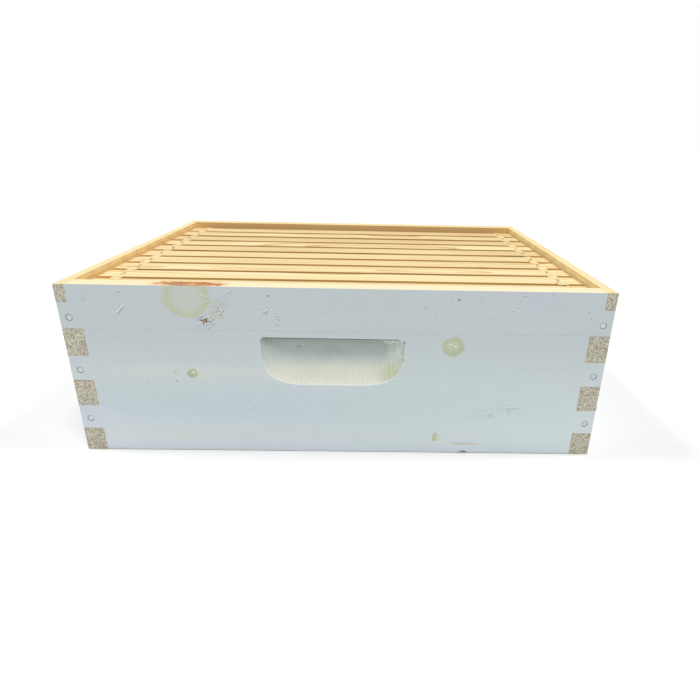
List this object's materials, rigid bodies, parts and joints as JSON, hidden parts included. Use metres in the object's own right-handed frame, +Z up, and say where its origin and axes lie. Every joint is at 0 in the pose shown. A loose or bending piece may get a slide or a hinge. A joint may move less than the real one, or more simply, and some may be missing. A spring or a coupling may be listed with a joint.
{
  "type": "hive super",
  "caption": "Beehive super: an open box of finger-jointed painted pine boards with hand grips, holding wooden comb frames that hang by their lugs and lift straight out.",
  "frame": {"origin": "middle of the box on the plane of its bottom rim", "axes": "+X along the long side boards and the frames, -Y out of the front side board, +Z up"},
  "size_m": [0.5048, 0.4128, 0.1683],
  "materials": {
    "painted_pine": "brushed exterior paint in pale bluish white outside, bare planed pine on the rim and inside",
    "bare_pine": "planed, unfinished",
    "foundation_sheet": "embossed with hexagonal cells and waxed",
    "nail_steel": "smooth heads under the paint"
  },
  "bodies": {
    "hive_box": {"front_side_board": "painted_pine", "back_side_board": "painted_pine", "left_end_board": "painted_pine", "right_end_board": "painted_pine", "left_upper_nail": "nail_steel", "left_middle_nail": "nail_steel", "left_lower_nail": "nail_steel", "right_upper_nail": "nail_steel", "right_middle_nail": "nail_steel", "right_lower_nail": "nail_steel"},
    "frame_01": {"frame_01_top_bar": "bare_pine", "frame_01_left_end_bar": "bare_pine", "frame_01_right_end_bar": "bare_pine", "frame_01_bottom_bar": "bare_pine", "frame_01_foundation": "foundation_sheet"},
    "frame_02": {"frame_02_top_bar": "bare_pine", "frame_02_left_end_bar": "bare_pine", "frame_02_right_end_bar": "bare_pine", "frame_02_bottom_bar": "bare_pine", "frame_02_foundation": "foundation_sheet"},
    "frame_03": {"frame_03_top_bar": "bare_pine", "frame_03_left_end_bar": "bare_pine", "frame_03_right_end_bar": "bare_pine", "frame_03_bottom_bar": "bare_pine", "frame_03_foundation": "foundation_sheet"},
    "frame_04": {"frame_04_top_bar": "bare_pine", "frame_04_left_end_bar": "bare_pine", "frame_04_right_end_bar": "bare_pine", "frame_04_bottom_bar": "bare_pine", "frame_04_foundation": "foundation_sheet"},
    "frame_05": {"frame_05_top_bar": "bare_pine", "frame_05_left_end_bar": "bare_pine", "frame_05_right_end_bar": "bare_pine", "frame_05_bottom_bar": "bare_pine", "frame_05_foundation": "foundation_sheet"},
    "frame_06": {"frame_06_top_bar": "bare_pine", "frame_06_left_end_bar": "bare_pine", "frame_06_right_end_bar": "bare_pine", "frame_06_bottom_bar": "bare_pine", "frame_06_foundation": "foundation_sheet"},
    "frame_07": {"frame_07_top_bar": "bare_pine", "frame_07_left_end_bar": "bare_pine", "frame_07_right_end_bar": "bare_pine", "frame_07_bottom_bar": "bare_pine", "frame_07_foundation": "foundation_sheet"},
    "frame_08": {"frame_08_top_bar": "bare_pine", "frame_08_left_end_bar": "bare_pine", "frame_08_right_end_bar": "bare_pine", "frame_08_bottom_bar": "bare_pine", "frame_08_foundation": "foundation_sheet"},
    "frame_09": {"frame_09_top_bar": "bare_pine", "frame_09_left_end_bar": "bare_pine", "frame_09_right_end_bar": "bare_pine", "frame_09_bottom_bar": "bare_pine", "frame_09_foundation": "foundation_sheet"},
    "frame_10": {"frame_10_top_bar": "bare_pine", "frame_10_left_end_bar": "bare_pine", "frame_10_right_end_bar": "bare_pine", "frame_10_bottom_bar": "bare_pine", "frame_10_foundation": "foundation_sheet"}
  },
  "joints": [
    {"name": "frame_01_lift", "type": "slide", "parent": "hive_box", "child": "frame_01", "axis": [0, 0, 1], "range_m": [0, 0.18]},
    {"name": "frame_02_lift", "type": "slide", "parent": "hive_box", "child": "frame_02", "axis": [0, 0, 1], "range_m": [0, 0.18]},
    {"name": "frame_03_lift", "type": "slide", "parent": "hive_box", "child": "frame_03", "axis": [0, 0, 1], "range_m": [0, 0.18]},
    {"name": "frame_04_lift", "type": "slide", "parent": "hive_box", "child": "frame_04", "axis": [0, 0, 1], "range_m": [0, 0.18]},
    {"name": "frame_05_lift", "type": "slide", "parent": "hive_box", "child": "frame_05", "axis": [0, 0, 1], "range_m": [0, 0.18]},
    {"name": "frame_06_lift", "type": "slide", "parent": "hive_box", "child": "frame_06", "axis": [0, 0, 1], "range_m": [0, 0.18]},
    {"name": "frame_07_lift", "type": "slide", "parent": "hive_box", "child": "frame_07", "axis": [0, 0, 1], "range_m": [0, 0.18]},
    {"name": "frame_08_lift", "type": "slide", "parent": "hive_box", "child": "frame_08", "axis": [0, 0, 1], "range_m": [0, 0.18]},
    {"name": "frame_09_lift", "type": "slide", "parent": "hive_box", "child": "frame_09", "axis": [0, 0, 1], "range_m": [0, 0.18]},
    {"name": "frame_10_lift", "type": "slide", "parent": "hive_box", "child": "frame_10", "axis": [0, 0, 1], "range_m": [0, 0.18]}
  ]
}
